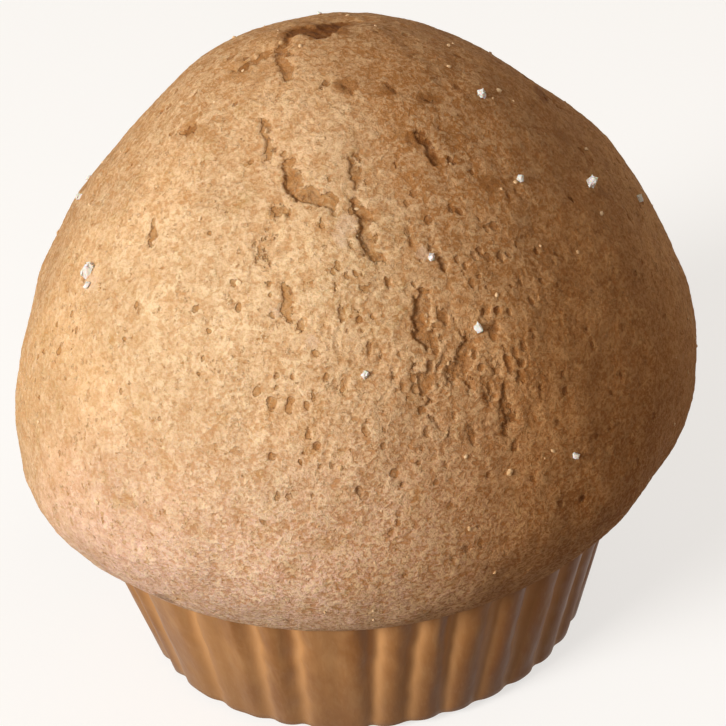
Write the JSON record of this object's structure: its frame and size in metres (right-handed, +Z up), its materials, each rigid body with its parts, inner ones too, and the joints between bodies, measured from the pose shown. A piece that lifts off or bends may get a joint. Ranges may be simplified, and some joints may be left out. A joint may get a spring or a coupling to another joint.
{
  "type": "cupcake",
  "caption": "Plain domed sponge cake with a cracked golden crust and sugar crystals, swelling out over a small pleated paper case.",
  "frame": {"origin": "centre of the flat round base of the paper case, on the surface it stands on", "axes": "+Z up through the crown, +Y from the front to the back, +X to the right seen from the front"},
  "size_m": [0.0758, 0.0746, 0.0702],
  "materials": {
    "crumb": "matt golden sponge crust with fine torn pores",
    "case_paper": "thin greaseproof paper, darkened by the cake's fat"
  },
  "bodies": {
    "root": {"cake": "crumb", "paper_case": "case_paper"}
  },
  "joints": []
}
